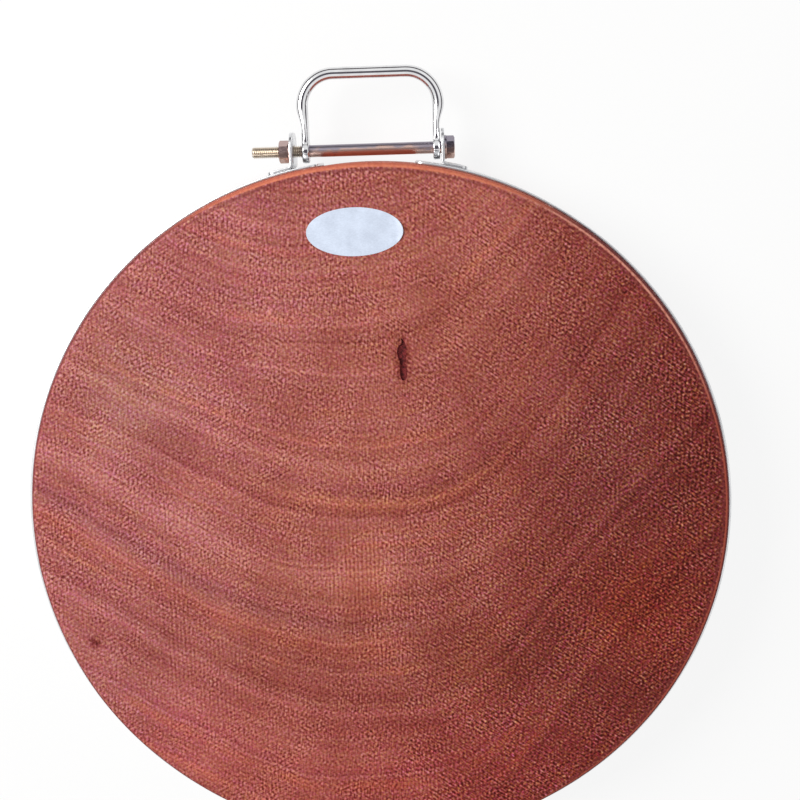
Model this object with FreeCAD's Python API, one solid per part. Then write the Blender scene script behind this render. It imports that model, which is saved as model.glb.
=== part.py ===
"""Round chopping block: a slab of ironwood in a clamped steel hoop, with a handle that swings on the bolt.

Millimetres. The block lies on its base with +Z up, the handle at +Y and the origin at the base's centre.
"""

import FreeCAD
import Part
import math
import os

V = FreeCAD.Vector

# Wooden slab, with the gum pocket that opens in its working face
block_diameter = 360.0
block_thickness = 50.0
block_edge_radius = 3.0
pocket_length = 21.0
pocket_width = 4.2
pocket_depth = 1.2
pocket_shift = 14.5
pocket_from_rim = 97.0

# Steel hoop, a flat strip bent round the slab and open under the bolt
hoop_width = 40.0
hoop_thickness = 1.5
hoop_opening = 48.0
hoop_corner_radius = 4.0
seat_gap = 0.05

# Clamp ears, angle brackets spot-welded to the hoop beside its opening
ear_thickness = 1.5
ear_width = 26.0
ear_height_over_bolt = 9.5
ear_corner_radius = 8.0
ear_bend_radius = 1.0
ear_hole_gap = 0.3
foot_length = 11.0
foot_corner_radius = 3.0
weld_mark_diameter = 4.5
weld_mark_depth = 0.3
weld_mark_spacing = 13.0

# Clamp bolt, nut and washers
bolt_diameter = 6.0
bolt_length = 98.5
bolt_end_chamfer = 0.8
thread_length = 26.0
thread_pitch = 1.0
thread_depth = 0.61
thread_crest_share = 0.2
hex_across_flats = 10.0
hex_chamfer_share = 0.96
hex_chamfer_degrees = 30
head_height = 4.0
nut_height = 5.0
thread_gap = 0.05
washer_diameter = 12.0
washer_thickness = 1.2
washer_hole_gap = 0.2
turning_gap = 0.3

# Carry handle, a round rod bent to a U and pressed flat into an eye at each end
rod_diameter = 6.0
handle_inside_width = 62.5
handle_reach = 38.0
handle_bend_radius = 16.0
handle_side_play = 4.9
handle_gap_right = 0.65
eye_diameter = 12.0
eye_thickness = 3.5
eye_bore_gap = 0.1
flat_width = 9.0
flat_length = 12.0

# Blank oval label stuck on the working face
label_length = 48.0
label_height = 24.0
label_thickness = 0.15
label_shift = -6.7
label_from_rim = 33.5

# Every cut runs this far past the material it goes through
overrun = 5.0

# Places worked out from the sizes above
block_radius = block_diameter / 2
mid_height = block_thickness / 2
hoop_inner_radius = block_radius + seat_gap
hoop_outer_radius = hoop_inner_radius + hoop_thickness
foot_under_radius = hoop_outer_radius + seat_gap
foot_top_radius = foot_under_radius + ear_thickness

# The ears stand just outside the handle's eyes and leave them room to slide along the bolt
eye_outer_x = handle_inside_width / 2 + eye_thickness
ear_inner_x = eye_outer_x + handle_side_play / 2
handle_shift = handle_side_play / 2 - handle_gap_right
ear_outer_x = ear_inner_x + ear_thickness
bend_centre_x = ear_outer_x + ear_bend_radius
bend_centre_y = math.sqrt((foot_top_radius + ear_bend_radius) ** 2 - bend_centre_x ** 2)
bend_angle = math.atan2(bend_centre_x, bend_centre_y)
foot_end_angle = bend_angle + foot_length / foot_under_radius

# The bolt sits as low as the handle's eyes can turn over the hoop and the washers over the ears' bends
bolt_radius = bolt_diameter / 2
eye_radius = eye_diameter / 2
washer_radius = washer_diameter / 2
eye_nearest_x = handle_inside_width / 2 - abs(handle_shift)
hoop_under_eye_y = math.sqrt(hoop_outer_radius ** 2 - eye_nearest_x ** 2)
bolt_y = turning_gap + max(hoop_under_eye_y + eye_radius, bend_centre_y + washer_radius)
washer_outer_x = ear_outer_x + washer_thickness
bolt_tip_x = washer_outer_x - bolt_length

# The legs' flats are pressed from outside, so the eyes stay flush with the inside of the U
eye_x = eye_outer_x - eye_thickness / 2
leg_x = handle_inside_width / 2 + rod_diameter / 2
handle_top_y = bolt_y + handle_reach
bend_start_y = handle_top_y - handle_bend_radius


def bolt_cylinder(radius, start_x, length):
    """Cylinder on the bolt's axis, from start_x towards +X."""
    return Part.makeCylinder(radius, length, V(start_x, bolt_y, mid_height), V(1, 0, 0))


def polar(radius, angle, z=0):
    """Point at an angle from +Y, turning towards +X about the block's axis."""
    return V(radius * math.sin(angle), radius * math.cos(angle), z)


def wire_of(*curves):
    """One wire from curves that follow each other end to end."""
    return Part.Wire([curve.toShape() for curve in curves])


def oval_face(centre, size_x, size_y):
    """Flat oval, longer along X or along Y."""
    half_x = V(size_x / 2, 0, 0)
    half_y = V(0, size_y / 2, 0)
    if size_x < size_y:
        half_x, half_y = half_y, half_x
    return Part.Face(wire_of(Part.Ellipse(centre + half_x, centre + half_y, centre)))


def wood_block():
    """One slab with both rims eased and a shallow gum pocket in the working face."""
    slab = Part.makeCylinder(block_radius, block_thickness)
    rims = [edge for edge in slab.Edges if isinstance(edge.Curve, Part.Circle)]
    slab = slab.makeFillet(block_edge_radius, rims)
    pocket_centre = V(pocket_shift, block_radius - pocket_from_rim, block_thickness - pocket_depth)
    pocket = oval_face(pocket_centre, pocket_width, pocket_length)
    return slab.cut(pocket.extrude(V(0, 0, pocket_depth + overrun)))


def is_straight(edge, direction):
    """True for a straight edge that runs along a direction, either way."""
    return isinstance(edge.Curve, Part.Line) and edge.Curve.Direction.cross(direction).Length < 1e-6


def hoop_band():
    """Strip round the slab at mid height, with rounded corners at its two ends."""
    base_z = mid_height - hoop_width / 2
    outside = Part.makeCylinder(hoop_outer_radius, hoop_width, V(0, 0, base_z))
    inside = Part.makeCylinder(hoop_inner_radius, hoop_width, V(0, 0, base_z))
    half_angle = math.asin(hoop_opening / 2 / hoop_outer_radius)
    reach = (hoop_outer_radius + overrun) / math.cos(half_angle)
    centre = V(0, 0, base_z)
    wedge = [centre, polar(reach, half_angle, base_z), polar(reach, -half_angle, base_z), centre]
    opening = Part.Face(Part.makePolygon(wedge)).extrude(V(0, 0, hoop_width))
    strip = outside.cut(inside).cut(opening)
    ends = [polar(1, half_angle), polar(1, -half_angle)]
    end_corners = [edge for edge in strip.Edges if any(is_straight(edge, end) for end in ends)]
    return strip.makeFillet(hoop_corner_radius, end_corners)


def ear_section():
    """Angle section of the right ear: an upright square to the bolt and a foot that follows the hoop."""
    top_y = bolt_y + ear_height_over_bolt
    bend_centre = V(bend_centre_x, bend_centre_y, 0)
    half_turn = (math.pi / 2 - bend_angle) / 2
    to_corner = V(-math.cos(half_turn), -math.sin(half_turn), 0)
    middle_angle = (bend_angle + foot_end_angle) / 2

    inner_top = V(ear_inner_x, top_y, 0)
    inner_low = V(ear_inner_x, bend_centre_y, 0)
    under_start = polar(foot_under_radius, bend_angle)
    under_end = polar(foot_under_radius, foot_end_angle)
    over_end = polar(foot_top_radius, foot_end_angle)
    over_start = polar(foot_top_radius, bend_angle)
    outer_low = V(ear_outer_x, bend_centre_y, 0)
    outer_top = V(ear_outer_x, top_y, 0)

    return Part.Face(wire_of(
        Part.LineSegment(inner_top, inner_low),
        Part.Arc(inner_low, bend_centre + to_corner * (ear_bend_radius + ear_thickness), under_start),
        Part.Arc(under_start, polar(foot_under_radius, middle_angle), under_end),
        Part.LineSegment(under_end, over_end),
        Part.Arc(over_end, polar(foot_top_radius, middle_angle), over_start),
        Part.Arc(over_start, bend_centre + to_corner * ear_bend_radius, outer_low),
        Part.LineSegment(outer_low, outer_top),
        Part.LineSegment(outer_top, inner_top),
    ))


def right_ear():
    """Bracket at +X with a rounded head, a bolt hole and two spot-weld marks on its foot."""
    plate = ear_section()
    plate.translate(V(0, 0, mid_height - ear_width / 2))
    ear = plate.extrude(V(0, 0, ear_width))
    head_corners = [edge for edge in ear.Edges if is_straight(edge, V(1, 0, 0))]
    ear = ear.makeFillet(ear_corner_radius, head_corners)
    foot_corners = [edge for edge in ear.Edges if is_straight(edge, polar(1, foot_end_angle))]
    ear = ear.makeFillet(foot_corner_radius, foot_corners)
    hole_length = ear_thickness + 2 * overrun
    ear = ear.cut(bolt_cylinder(bolt_radius + ear_hole_gap, ear_inner_x - overrun, hole_length))
    mark_angle = foot_end_angle - foot_length / 2 / foot_under_radius
    for side in (-1, 1):
        mark_z = mid_height + side * weld_mark_spacing / 2
        mark_floor = polar(foot_top_radius - weld_mark_depth, mark_angle, mark_z)
        ear = ear.cut(Part.makeCylinder(weld_mark_diameter / 2, overrun, mark_floor, polar(1, mark_angle)))
    return ear


def left_ear():
    """The same bracket, facing the other way."""
    return right_ear().mirror(V(0, 0, 0), V(1, 0, 0))


def hex_prism(start_x, height, ends):
    """Hexagon along the bolt's axis, with its corners turned off at each end that is listed as -1 or 1."""
    corner_radius = hex_across_flats / math.sqrt(3)
    corners = []
    for step in range(7):
        turn = step * math.pi / 3
        offset = V(0, corner_radius * math.cos(turn), corner_radius * math.sin(turn))
        corners.append(V(start_x, bolt_y, mid_height) + offset)
    prism = Part.Face(Part.makePolygon(corners)).extrude(V(height, 0, 0))
    face_radius = hex_across_flats / 2 * hex_chamfer_share
    far_radius = face_radius + height / math.tan(math.radians(hex_chamfer_degrees))
    for end in ends:
        end_x = start_x + height * (1 + end) / 2
        cone = Part.makeCone(face_radius, far_radius, height, V(end_x, bolt_y, mid_height), V(-end, 0, 0))
        prism = prism.common(cone)
    return prism


def clamp_bolt():
    """Hexagon bolt whose head bears on the right ear; its thread is a row of ring ridges."""
    root_radius = bolt_radius - thread_depth
    crest_length = thread_pitch * thread_crest_share
    flank_length = thread_pitch / 2 - crest_length
    outline = [(bolt_tip_x, 0), (bolt_tip_x, bolt_radius - bolt_end_chamfer)]
    ridge_x = bolt_tip_x + bolt_end_chamfer
    for _ in range(int(thread_length / thread_pitch)):
        crest_x = ridge_x + flank_length
        outline.append((ridge_x, root_radius))
        outline.append((crest_x, bolt_radius))
        outline.append((crest_x + crest_length, bolt_radius))
        outline.append((crest_x + crest_length + flank_length, root_radius))
        ridge_x += thread_pitch
    outline.append((ridge_x, root_radius))
    outline.append((ridge_x + thread_depth, bolt_radius))
    outline.append((washer_outer_x, bolt_radius))
    outline.append((washer_outer_x, 0))
    points = [V(x, bolt_y + radius, mid_height) for x, radius in outline + outline[:1]]
    shank = Part.Face(Part.makePolygon(points)).revolve(V(0, bolt_y, mid_height), V(1, 0, 0), 360)
    return shank.fuse(hex_prism(washer_outer_x, head_height, [1])).removeSplitter()


def washer(start_x):
    """Flat washer with its hole clear of the bolt."""
    disc = bolt_cylinder(washer_radius, start_x, washer_thickness)
    return disc.cut(bolt_cylinder(bolt_radius + washer_hole_gap, start_x, washer_thickness))


def clamp_nut():
    """Hexagon nut that bears on its washer outside the left ear."""
    start_x = -washer_outer_x - nut_height
    nut = hex_prism(start_x, nut_height, [-1, 1])
    return nut.cut(bolt_cylinder(bolt_radius + thread_gap, start_x, nut_height))


def section_corners(x, y, half_x, half_z):
    """Four corners of a leg's section, going round from +X and low Z."""
    signs = ((1, -1), (1, 1), (-1, 1), (-1, -1))
    return [V(x + sign_x * half_x, y, mid_height + sign_z * half_z) for sign_x, sign_z in signs]


def flat_section(x, y):
    """Section of a leg where it is pressed flat, with round edges."""
    half_thick = eye_thickness / 2
    corners = section_corners(x, y, half_thick, flat_width / 2 - half_thick)
    return wire_of(
        Part.LineSegment(corners[0], corners[1]),
        Part.Arc(corners[1], V(x, y, mid_height + flat_width / 2), corners[2]),
        Part.LineSegment(corners[2], corners[3]),
        Part.Arc(corners[3], V(x, y, mid_height - flat_width / 2), corners[0]),
    )


def round_section(x, y):
    """Section of a leg where it is still round rod, in four quarters that face the flat's four edges."""
    radius = rod_diameter / 2
    diagonal = radius * math.sqrt(2) / 2
    corners = section_corners(x, y, diagonal, diagonal)
    return wire_of(
        Part.Arc(corners[0], V(x + radius, y, mid_height), corners[1]),
        Part.Arc(corners[1], V(x, y, mid_height + radius), corners[2]),
        Part.Arc(corners[2], V(x - radius, y, mid_height), corners[3]),
        Part.Arc(corners[3], V(x, y, mid_height - radius), corners[0]),
    )


def handle_leg(side):
    """Flat eye on the bolt, the pressed flat above it and the taper up to the round rod."""
    flat_x = handle_shift + side * eye_x
    round_x = handle_shift + side * leg_x
    eye = bolt_cylinder(eye_radius, flat_x - eye_thickness / 2, eye_thickness)
    flat = Part.Face(flat_section(flat_x, bolt_y)).extrude(V(0, flat_length, 0))
    sections = [flat_section(flat_x, bolt_y + flat_length), round_section(round_x, bend_start_y)]
    taper = Part.makeLoft(sections, True, True)
    return eye.fuse([flat, taper])


def handle_grip():
    """Round rod over the top of the U, from bend to bend."""
    left_x = handle_shift - leg_x
    right_x = handle_shift + leg_x
    corner_rise = handle_bend_radius * (1 - math.sqrt(2) / 2)
    left_start = V(left_x, bend_start_y, mid_height)
    left_top = V(left_x + handle_bend_radius, handle_top_y, mid_height)
    right_top = V(right_x - handle_bend_radius, handle_top_y, mid_height)
    right_end = V(right_x, bend_start_y, mid_height)
    path = wire_of(
        Part.Arc(left_start, V(left_x + corner_rise, handle_top_y - corner_rise, mid_height), left_top),
        Part.LineSegment(left_top, right_top),
        Part.Arc(right_top, V(right_x - corner_rise, handle_top_y - corner_rise, mid_height), right_end),
    )
    section = Part.Wire(Part.makeCircle(rod_diameter / 2, left_start, V(0, 1, 0)))
    return path.makePipeShell([section], True, False)


def carry_handle():
    """U-shaped rod with an eye at each end, pushed along the bolt to where it hangs."""
    handle = handle_grip().fuse([handle_leg(-1), handle_leg(1)])
    bore_start = handle_shift - leg_x - overrun
    return handle.cut(bolt_cylinder(bolt_radius + eye_bore_gap, bore_start, 2 * leg_x + 2 * overrun))


def oval_label():
    """Blank oval on the working face, below the handle."""
    centre = V(label_shift, block_radius - label_from_rim, block_thickness)
    return oval_face(centre, label_length, label_height).extrude(V(0, 0, label_thickness))


def main():
    """Write one file for each piece."""
    pieces = {
        "wood_block": wood_block(),
        "hoop_band": hoop_band(),
        "left_ear": left_ear(),
        "right_ear": right_ear(),
        "clamp_bolt": clamp_bolt(),
        "head_washer": washer(ear_outer_x),
        "nut_washer": washer(-washer_outer_x),
        "clamp_nut": clamp_nut(),
        "carry_handle": carry_handle(),
        "oval_label": oval_label(),
    }
    os.makedirs("parts", exist_ok=True)
    for name, shape in pieces.items():
        shape.exportStep("parts/" + name + ".step")
        print(name, "solids", len(shape.Solids), "valid", shape.isValid(), "volume", round(shape.Volume, 1))


main()
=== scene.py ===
"""Looks of a round ironwood chopping block in a steel hoop, with a clamp bolt and a swinging carry handle.

Metres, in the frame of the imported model: +Z goes up through the working face, +Y towards the handle and
+X along the bolt to its head.
"""

import math

import bmesh
import bpy
from bpy.props import FloatProperty, FloatVectorProperty, PointerProperty
from mathutils import Matrix, Vector, noise


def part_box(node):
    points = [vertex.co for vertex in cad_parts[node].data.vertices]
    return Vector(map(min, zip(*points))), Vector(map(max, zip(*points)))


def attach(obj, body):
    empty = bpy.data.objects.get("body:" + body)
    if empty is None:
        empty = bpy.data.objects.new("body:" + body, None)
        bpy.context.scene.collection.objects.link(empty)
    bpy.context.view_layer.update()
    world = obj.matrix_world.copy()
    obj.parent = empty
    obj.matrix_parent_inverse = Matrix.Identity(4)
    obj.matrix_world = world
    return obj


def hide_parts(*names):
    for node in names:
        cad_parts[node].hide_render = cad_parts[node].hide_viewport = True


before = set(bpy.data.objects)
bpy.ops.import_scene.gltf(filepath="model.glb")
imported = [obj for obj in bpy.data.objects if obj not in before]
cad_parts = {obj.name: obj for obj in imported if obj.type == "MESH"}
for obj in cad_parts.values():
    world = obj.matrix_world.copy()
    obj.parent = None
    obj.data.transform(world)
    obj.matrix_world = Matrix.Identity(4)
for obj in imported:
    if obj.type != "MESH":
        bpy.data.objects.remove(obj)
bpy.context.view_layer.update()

bl_info = {
    "name": "Round Chopping Block",
    "version": (1, 0, 0),
    "blender": (4, 5, 0),
    "location": "3D View > Sidebar > Chopping Block",
    "description": "Builds the finish of a round chopping block with a steel hoop and a carry handle",
    "category": "Add Mesh",
}

MM = 0.001
UP = Vector((0, 0, 1))


def node_points(node):
    """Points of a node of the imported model."""
    return [vertex.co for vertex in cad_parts[node].data.vertices]


def reach(node):
    """Greatest distance of a node from the block's axis."""
    return max(math.hypot(point.x, point.y) for point in node_points(node))


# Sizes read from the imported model
block_radius = reach("wood_block")
block_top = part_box("wood_block")[1].z
hoop_radius = reach("hoop_band")
hoop_low, hoop_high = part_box("hoop_band")
ear_low, ear_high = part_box("right_ear")
right_ear_points = node_points("right_ear")
foot_end_angle = max(math.atan2(point.x, point.y) for point in right_ear_points)
foot_end = [point for point in right_ear_points if math.atan2(point.x, point.y) > foot_end_angle - 1e-4]
foot_radius = max(math.hypot(point.x, point.y) for point in foot_end)
bolt_low, bolt_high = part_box("clamp_bolt")
nut_low, nut_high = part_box("clamp_nut")
head_washer_low, head_washer_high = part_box("head_washer")
handle_low, handle_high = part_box("carry_handle")
label_low, label_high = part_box("oval_label")
bolt_y = (head_washer_low.y + head_washer_high.y) / 2
bolt_z = (head_washer_low.z + head_washer_high.z) / 2


def length_property(name, description, default):
    """A size in metres."""
    return FloatProperty(
        name=name, description=description, default=default, unit="LENGTH", subtype="DISTANCE", precision=5
    )


def share_property(name, description, default):
    """A share from nought to one."""
    return FloatProperty(
        name=name, description=description, default=default, subtype="FACTOR", min=0.0, max=1.0
    )


def number_property(name, description, default):
    """A plain number."""
    return FloatProperty(name=name, description=description, default=default)


def colour_property(name, description, default):
    """A colour in linear values."""
    return FloatVectorProperty(
        name=name, description=description, default=default, subtype="COLOR", size=3, min=0.0, max=1.0
    )


def place_property(name, description, default):
    """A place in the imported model's frame."""
    return FloatVectorProperty(
        name=name, description=description, default=default, subtype="TRANSLATION", unit="LENGTH",
        size=3, precision=5,
    )


class WoodLook(bpy.types.PropertyGroup):
    """Sizes and colours of the wooden slab."""

    edge_radius: length_property("Edge radius", "Rounding of the slab's two rims", 3.0 * MM)
    edge_wear: share_property("Edge wear", "How unevenly the rims are worn", 0.2)
    arc_reach: length_property("Arc reach", "How far out the rings' arcs turn straight", 100 * MM)
    pith_lean: length_property("Pith lean", "How far the rings' middle leans to the left", 20 * MM)
    left_slope: number_property("Left slope", "How steeply the rings rise on the left", 0.6)
    right_slope: number_property("Right slope", "How steeply the rings rise on the right", 1.35)
    ring_spacing: length_property("Ring spacing", "Usual distance between growth rings", 8 * MM)
    pore_size: length_property("Pore size", "Usual size of the pores in the end grain", 1.03 * MM)
    pore_gap: length_property("Pore gap", "Usual distance from a pore to the wood round it", 1.4 * MM)
    ray_length: length_property("Ray length", "How far pores are drawn out across the rings", 0.6 * MM)
    saw_spacing: length_property("Saw spacing", "Distance between the faint saw marks", 2.15 * MM)
    pale: colour_property("Pale cells", "Colour of the palest grain", (0.70, 0.275, 0.225))
    middle: colour_property("Middle wood", "Colour of the wood on the whole", (0.375, 0.102, 0.078))
    # The darker side, where the dark and pore colours gather, is partly painted shade.
    dark: colour_property("Dark wood", "Colour of the wood on its darker side", (0.20, 0.032, 0.024))
    pore: colour_property("Pores", "Colour of the deepest pores on the darker side", (0.052, 0.003, 0.002))
    # The next four colours are painted light on the rims: a partly painted highlight on the smoothed top
    # rim, a painted highlight line on the right rim with its palest part, and painted shade on the rims'
    # edges.
    smoothed_top_rim_highlight: colour_property("Top rim", "Colour of the smoothed rim below the handle", (0.72, 0.225, 0.125))
    red_rim_highlight: colour_property("Rubbed rim", "Colour of the line rubbed on the right", (0.46, 0.095, 0.06))
    pale_rim_highlight: colour_property("Bright rim", "Colour of that line where it is barest", (0.82, 0.36, 0.27))
    rim_shade: colour_property("Dirty rim", "Colour of the rim's edge elsewhere", (0.17, 0.028, 0.028))
    gum: colour_property("Gum", "Colour inside the gum pocket", (0.095, 0.013, 0.014))
    pocket_centre: place_property(
        "Gum pocket", "Middle of the gum pocket", (15.0 * MM, 82.4 * MM, block_top)
    )
    pocket_length: length_property("Gum pocket length", "Length of the gum pocket", 22.1 * MM)
    pocket_width: length_property("Gum pocket width", "Greatest width of the gum pocket", 4.4 * MM)
    pocket_depth: length_property("Gum pocket depth", "Depth of the gum pocket", 1.2 * MM)


class SteelLook(bpy.types.PropertyGroup):
    """Sizes and colours of the metal pieces."""

    hoop: colour_property("Hoop steel", "Colour of the hoop and its ears", (0.84, 0.845, 0.86))
    handle: colour_property("Handle steel", "Colour of the polished handle", (0.80, 0.80, 0.81))
    zinc: colour_property("Zinc plate", "Colour of the bolt, nut and washers", (0.64, 0.44, 0.38))
    # This blue is painted in as the sky's reflection on the upper half of the zinc parts.
    sky_blue_on_zinc: colour_property("Zinc blue", "Bluish tint in the zinc plate", (0.22, 0.23, 0.31))
    zinc_thread: colour_property("Zinc thread", "Colour of the thread's bare crests", (0.82, 0.73, 0.62))
    hoop_opening: length_property("Hoop opening", "Gap between the strip's two ends", 48 * MM)
    hoop_corner: length_property("Hoop corner", "Rounding of the strip's corners", 4 * MM)
    sheet: length_property("Sheet", "Thickness of the hoop and the ears", 1.5 * MM)
    sheet_edge: length_property("Sheet edge", "Rounding of the cut edges of the sheet", 0.3 * MM)
    ear_head: length_property("Ear head", "Rounding of the ears' upper corners", 8 * MM)
    ear_foot: length_property("Ear foot", "Rounding of the ears' foot corners", 3 * MM)
    ear_bend: length_property("Ear bend", "Inside radius of the ears' bend", 1 * MM)
    ear_hole: length_property("Ear hole", "Radius of the bolt hole in the ears", 3.3 * MM)
    foot_length: length_property("Foot length", "Length of the ears' feet along the hoop", 11 * MM)
    weld_radius: length_property("Weld radius", "Radius of a spot-weld mark", 2.25 * MM)
    weld_depth: length_property("Weld depth", "Depth of a spot-weld mark", 0.3 * MM)
    weld_spacing: length_property("Weld spacing", "Distance between an ear's two spot welds", 13 * MM)
    shank: length_property("Shank", "Radius of the bolt's shank", 3 * MM)
    tip_chamfer: length_property("Tip chamfer", "Chamfer on the bolt's tip", 0.8 * MM)
    thread_pitch: length_property("Thread pitch", "Rise of the thread in one turn", 1 * MM)
    thread_depth: length_property("Thread depth", "Depth of the thread", 0.6 * MM)
    thread_length: length_property("Thread length", "Length of the threaded end", 26 * MM)
    hex_flats: length_property("Hexagon", "Width of the head and the nut across their flats", 10 * MM)
    washer_hole: length_property("Washer hole", "Radius of the hole in the washers", 3.2 * MM)
    washer_edge: length_property("Washer edge", "Rounding of the washers' edges", 0.22 * MM)
    rod: length_property("Rod", "Radius of the handle's rod", 3 * MM)
    handle_bend: length_property("Handle bend", "Radius of the handle's two bends", 16 * MM)
    eye: length_property("Eye", "Radius of the handle's eyes", 6 * MM)
    eye_thickness: length_property("Eye thickness", "Thickness of the handle's flattened eyes", 3.5 * MM)
    eye_edge: length_property("Eye edge", "Rounding of the eyes' edges", 0.8 * MM)
    eye_bore: length_property("Eye bore", "Radius of the hole in the eyes", 3.1 * MM)
    flat_width: length_property("Flat width", "Width of the handle's flats above the eyes", 9 * MM)
    flat_length: length_property("Flat length", "How far the flats reach above the bolt", 11 * MM)


class LabelLook(bpy.types.PropertyGroup):
    """Sizes and colours of the blank label."""

    paper: colour_property("Paper", "Colour of the label", (0.68, 0.76, 0.92))
    lift: length_property("Lift", "How far the label's right end has come up", 1.1 * MM)


class StageLook(bpy.types.PropertyGroup):
    """Camera, floor and light."""

    floor: colour_property("Floor", "Colour of the floor", (0.93, 0.93, 0.93))
    floor_glow: share_property("Floor glow", "How much of the floor shows as plain white", 0.85)
    key_power: FloatProperty(
        name="Key light", description="Power of the key light", default=18.0, unit="POWER"
    )
    key_place: place_property("Key place", "Where the key light stands", (-0.95, 0.55, 1.1))
    key_size: length_property("Key size", "Width of the key light", 0.9)
    key_colour: colour_property("Key colour", "Colour of the key light", (1.0, 0.985, 0.96))
    fill: number_property("Fill", "Strength of the light all round", 0.5)
    camera_place: place_property("Camera", "Where the camera stands", (33.904 * MM, 189.028 * MM, 700 * MM))
    camera_aim: place_property("Aim", "What the camera looks at", (13.11 * MM, 61.40 * MM, 50 * MM))
    camera_roll: FloatProperty(
        name="Roll", description="Turn of the camera about its view", default=math.radians(-1.8),
        subtype="ANGLE",
    )
    camera_lens: FloatProperty(
        name="Lens", description="Focal length for a 36 mm sensor", default=59.02, unit="CAMERA"
    )


class BlockSettings(bpy.types.PropertyGroup):
    """Everything that a user would change."""

    wood: PointerProperty(type=WoodLook)
    steel: PointerProperty(type=SteelLook)
    label: PointerProperty(type=LabelLook)
    stage: PointerProperty(type=StageLook)


class Shader:
    """Adds and links the nodes of one material, or of the world."""

    def __init__(self, owner):
        owner.use_nodes = True
        self.owner = owner
        self.tree = owner.node_tree
        self.tree.nodes.clear()
        coordinates = self.add("ShaderNodeTexCoord").outputs
        self.place = coordinates["Object"]
        self.direction = coordinates["Generated"]

    def put(self, node, key, value):
        """Sets one socket of a node, or links it."""
        if isinstance(value, bpy.types.NodeSocket):
            self.tree.links.new(value, node.inputs[key])
        else:
            node.inputs[key].default_value = value

    def add(self, kind, inputs=None, **settings):
        """A node with its settings and its sockets."""
        node = self.tree.nodes.new(kind)
        for key, value in settings.items():
            setattr(node, key, value)
        for key, value in (inputs or {}).items():
            self.put(node, key, value)
        return node

    def sum(self, operation, first, second=0.0, third=0.0):
        """One sum on numbers."""
        return self.add("ShaderNodeMath", {0: first, 1: second, 2: third}, operation=operation).outputs[0]

    def split(self, vector):
        """The three parts of a vector."""
        return self.add("ShaderNodeSeparateXYZ", {0: vector}).outputs

    def join(self, x, y, z):
        """A vector from three numbers."""
        return self.add("ShaderNodeCombineXYZ", {0: x, 1: y, 2: z}).outputs[0]

    def scaled(self, vector, factors):
        """A vector stretched along each axis."""
        return self.add("ShaderNodeVectorMath", {0: vector, 1: factors}, operation="MULTIPLY").outputs[0]

    def distance(self, vector, point):
        """Distance from a point."""
        return self.add("ShaderNodeVectorMath", {0: vector, 1: point}, operation="DISTANCE").outputs["Value"]

    def noise(self, place, size, detail=2.0, roughness=0.5, output="Fac"):
        """Soft noise whose features have about this size."""
        inputs = {"Vector": place, "Scale": 1 / size, "Detail": detail, "Roughness": roughness}
        return self.add("ShaderNodeTexNoise", inputs).outputs[output]

    def line_noise(self, distance, size, detail=2.0, roughness=0.5, output="Fac"):
        """Noise along one distance, the same all across it."""
        inputs = {"W": distance, "Scale": 1 / size, "Detail": detail, "Roughness": roughness}
        return self.add("ShaderNodeTexNoise", inputs, noise_dimensions="1D").outputs[output]

    def vary_hue(self, share, colour, hues, green, blue):
        """A colour whose green and blue go up and down with a noise's colours."""
        inputs = {0: hues, 1: (0.0, green, blue), 2: (1.0, 1 - green / 2, 1 - blue / 2)}
        factors = self.add("ShaderNodeVectorMath", inputs, operation="MULTIPLY_ADD").outputs[0]
        return self.mix(share, colour, factors, "MULTIPLY")

    def span(self, value, low, high, to_low=0.0, to_high=1.0):
        """Smooth step of a value from one range to another."""
        inputs = {"Value": value, "From Min": low, "From Max": high, "To Min": to_low, "To Max": to_high}
        return self.add("ShaderNodeMapRange", inputs, interpolation_type="SMOOTHSTEP").outputs[0]

    def around(self, level, *parts):
        """A level with parts added to it, each by its own weight and by how far it is from one half."""
        total = level
        for value, weight in parts:
            offset = self.sum("SUBTRACT", value, 0.5)
            total = self.sum("MULTIPLY_ADD", offset, weight, total)
        return total

    def ramp(self, value, stops):
        """Colour along a value, from stops of place and colour."""
        node = self.add("ShaderNodeValToRGB", {"Fac": value})
        elements = node.color_ramp.elements
        while len(elements) < len(stops):
            elements.new(0.5)
        for element, (place, colour) in zip(elements, stops):
            element.position = place
            element.color = (*colour, 1.0)
        return node.outputs[0]

    def mix(self, share, first, second, blend_type="MIX"):
        """Two colours mixed by a share."""
        node = self.add("ShaderNodeMix", {0: share}, data_type="RGBA", blend_type=blend_type)
        for key, colour in ((6, first), (7, second)):
            self.put(node, key, colour if isinstance(colour, bpy.types.NodeSocket) else (*colour, 1.0))
        return node.outputs[2]

    def bump(self, height, distance):
        """Surface relief from a height of nought to one."""
        return self.add("ShaderNodeBump", {"Height": height, "Distance": distance}).outputs[0]

    def end(self, shader, kind="ShaderNodeOutputMaterial"):
        """Links the last shader to the output and gives back the material or world."""
        self.add(kind, {0: shader.outputs[0]})
        return self.owner

    def finish(self, inputs):
        """Ends with a surface of one Principled shader."""
        return self.end(self.add("ShaderNodeBsdfPrincipled", inputs))


def times(colour, factor):
    """A colour made lighter or darker."""
    return tuple(min(part * factor, 1.0) for part in colour)


# How much slower the grain changes through the slab's thickness, and the turn of the pores' pattern
GRAIN_PACE = 0.12
PORE_TURN = 0.6

# Lighter and darker places on the working face: middle and reach in millimetres, then how much lighter
TONE_SPOTS = (
    ((0, -33, 13, 34), 0.05),
    ((-20, -40, 10, 30), 0.035),
    ((-51, 108, 2.2, 2.2), 0.3),
    ((-152, -65, 4.5, 4.5), -0.27),
    ((-139, 62, 22, 40), 0.05),
    ((15, 82, 5, 14), -0.33),
    ((-52, -77, 30, 28), -0.075),
    ((-52, 16, 36, 32), -0.035),
    ((54, 16, 36, 32), -0.04),
)

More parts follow.
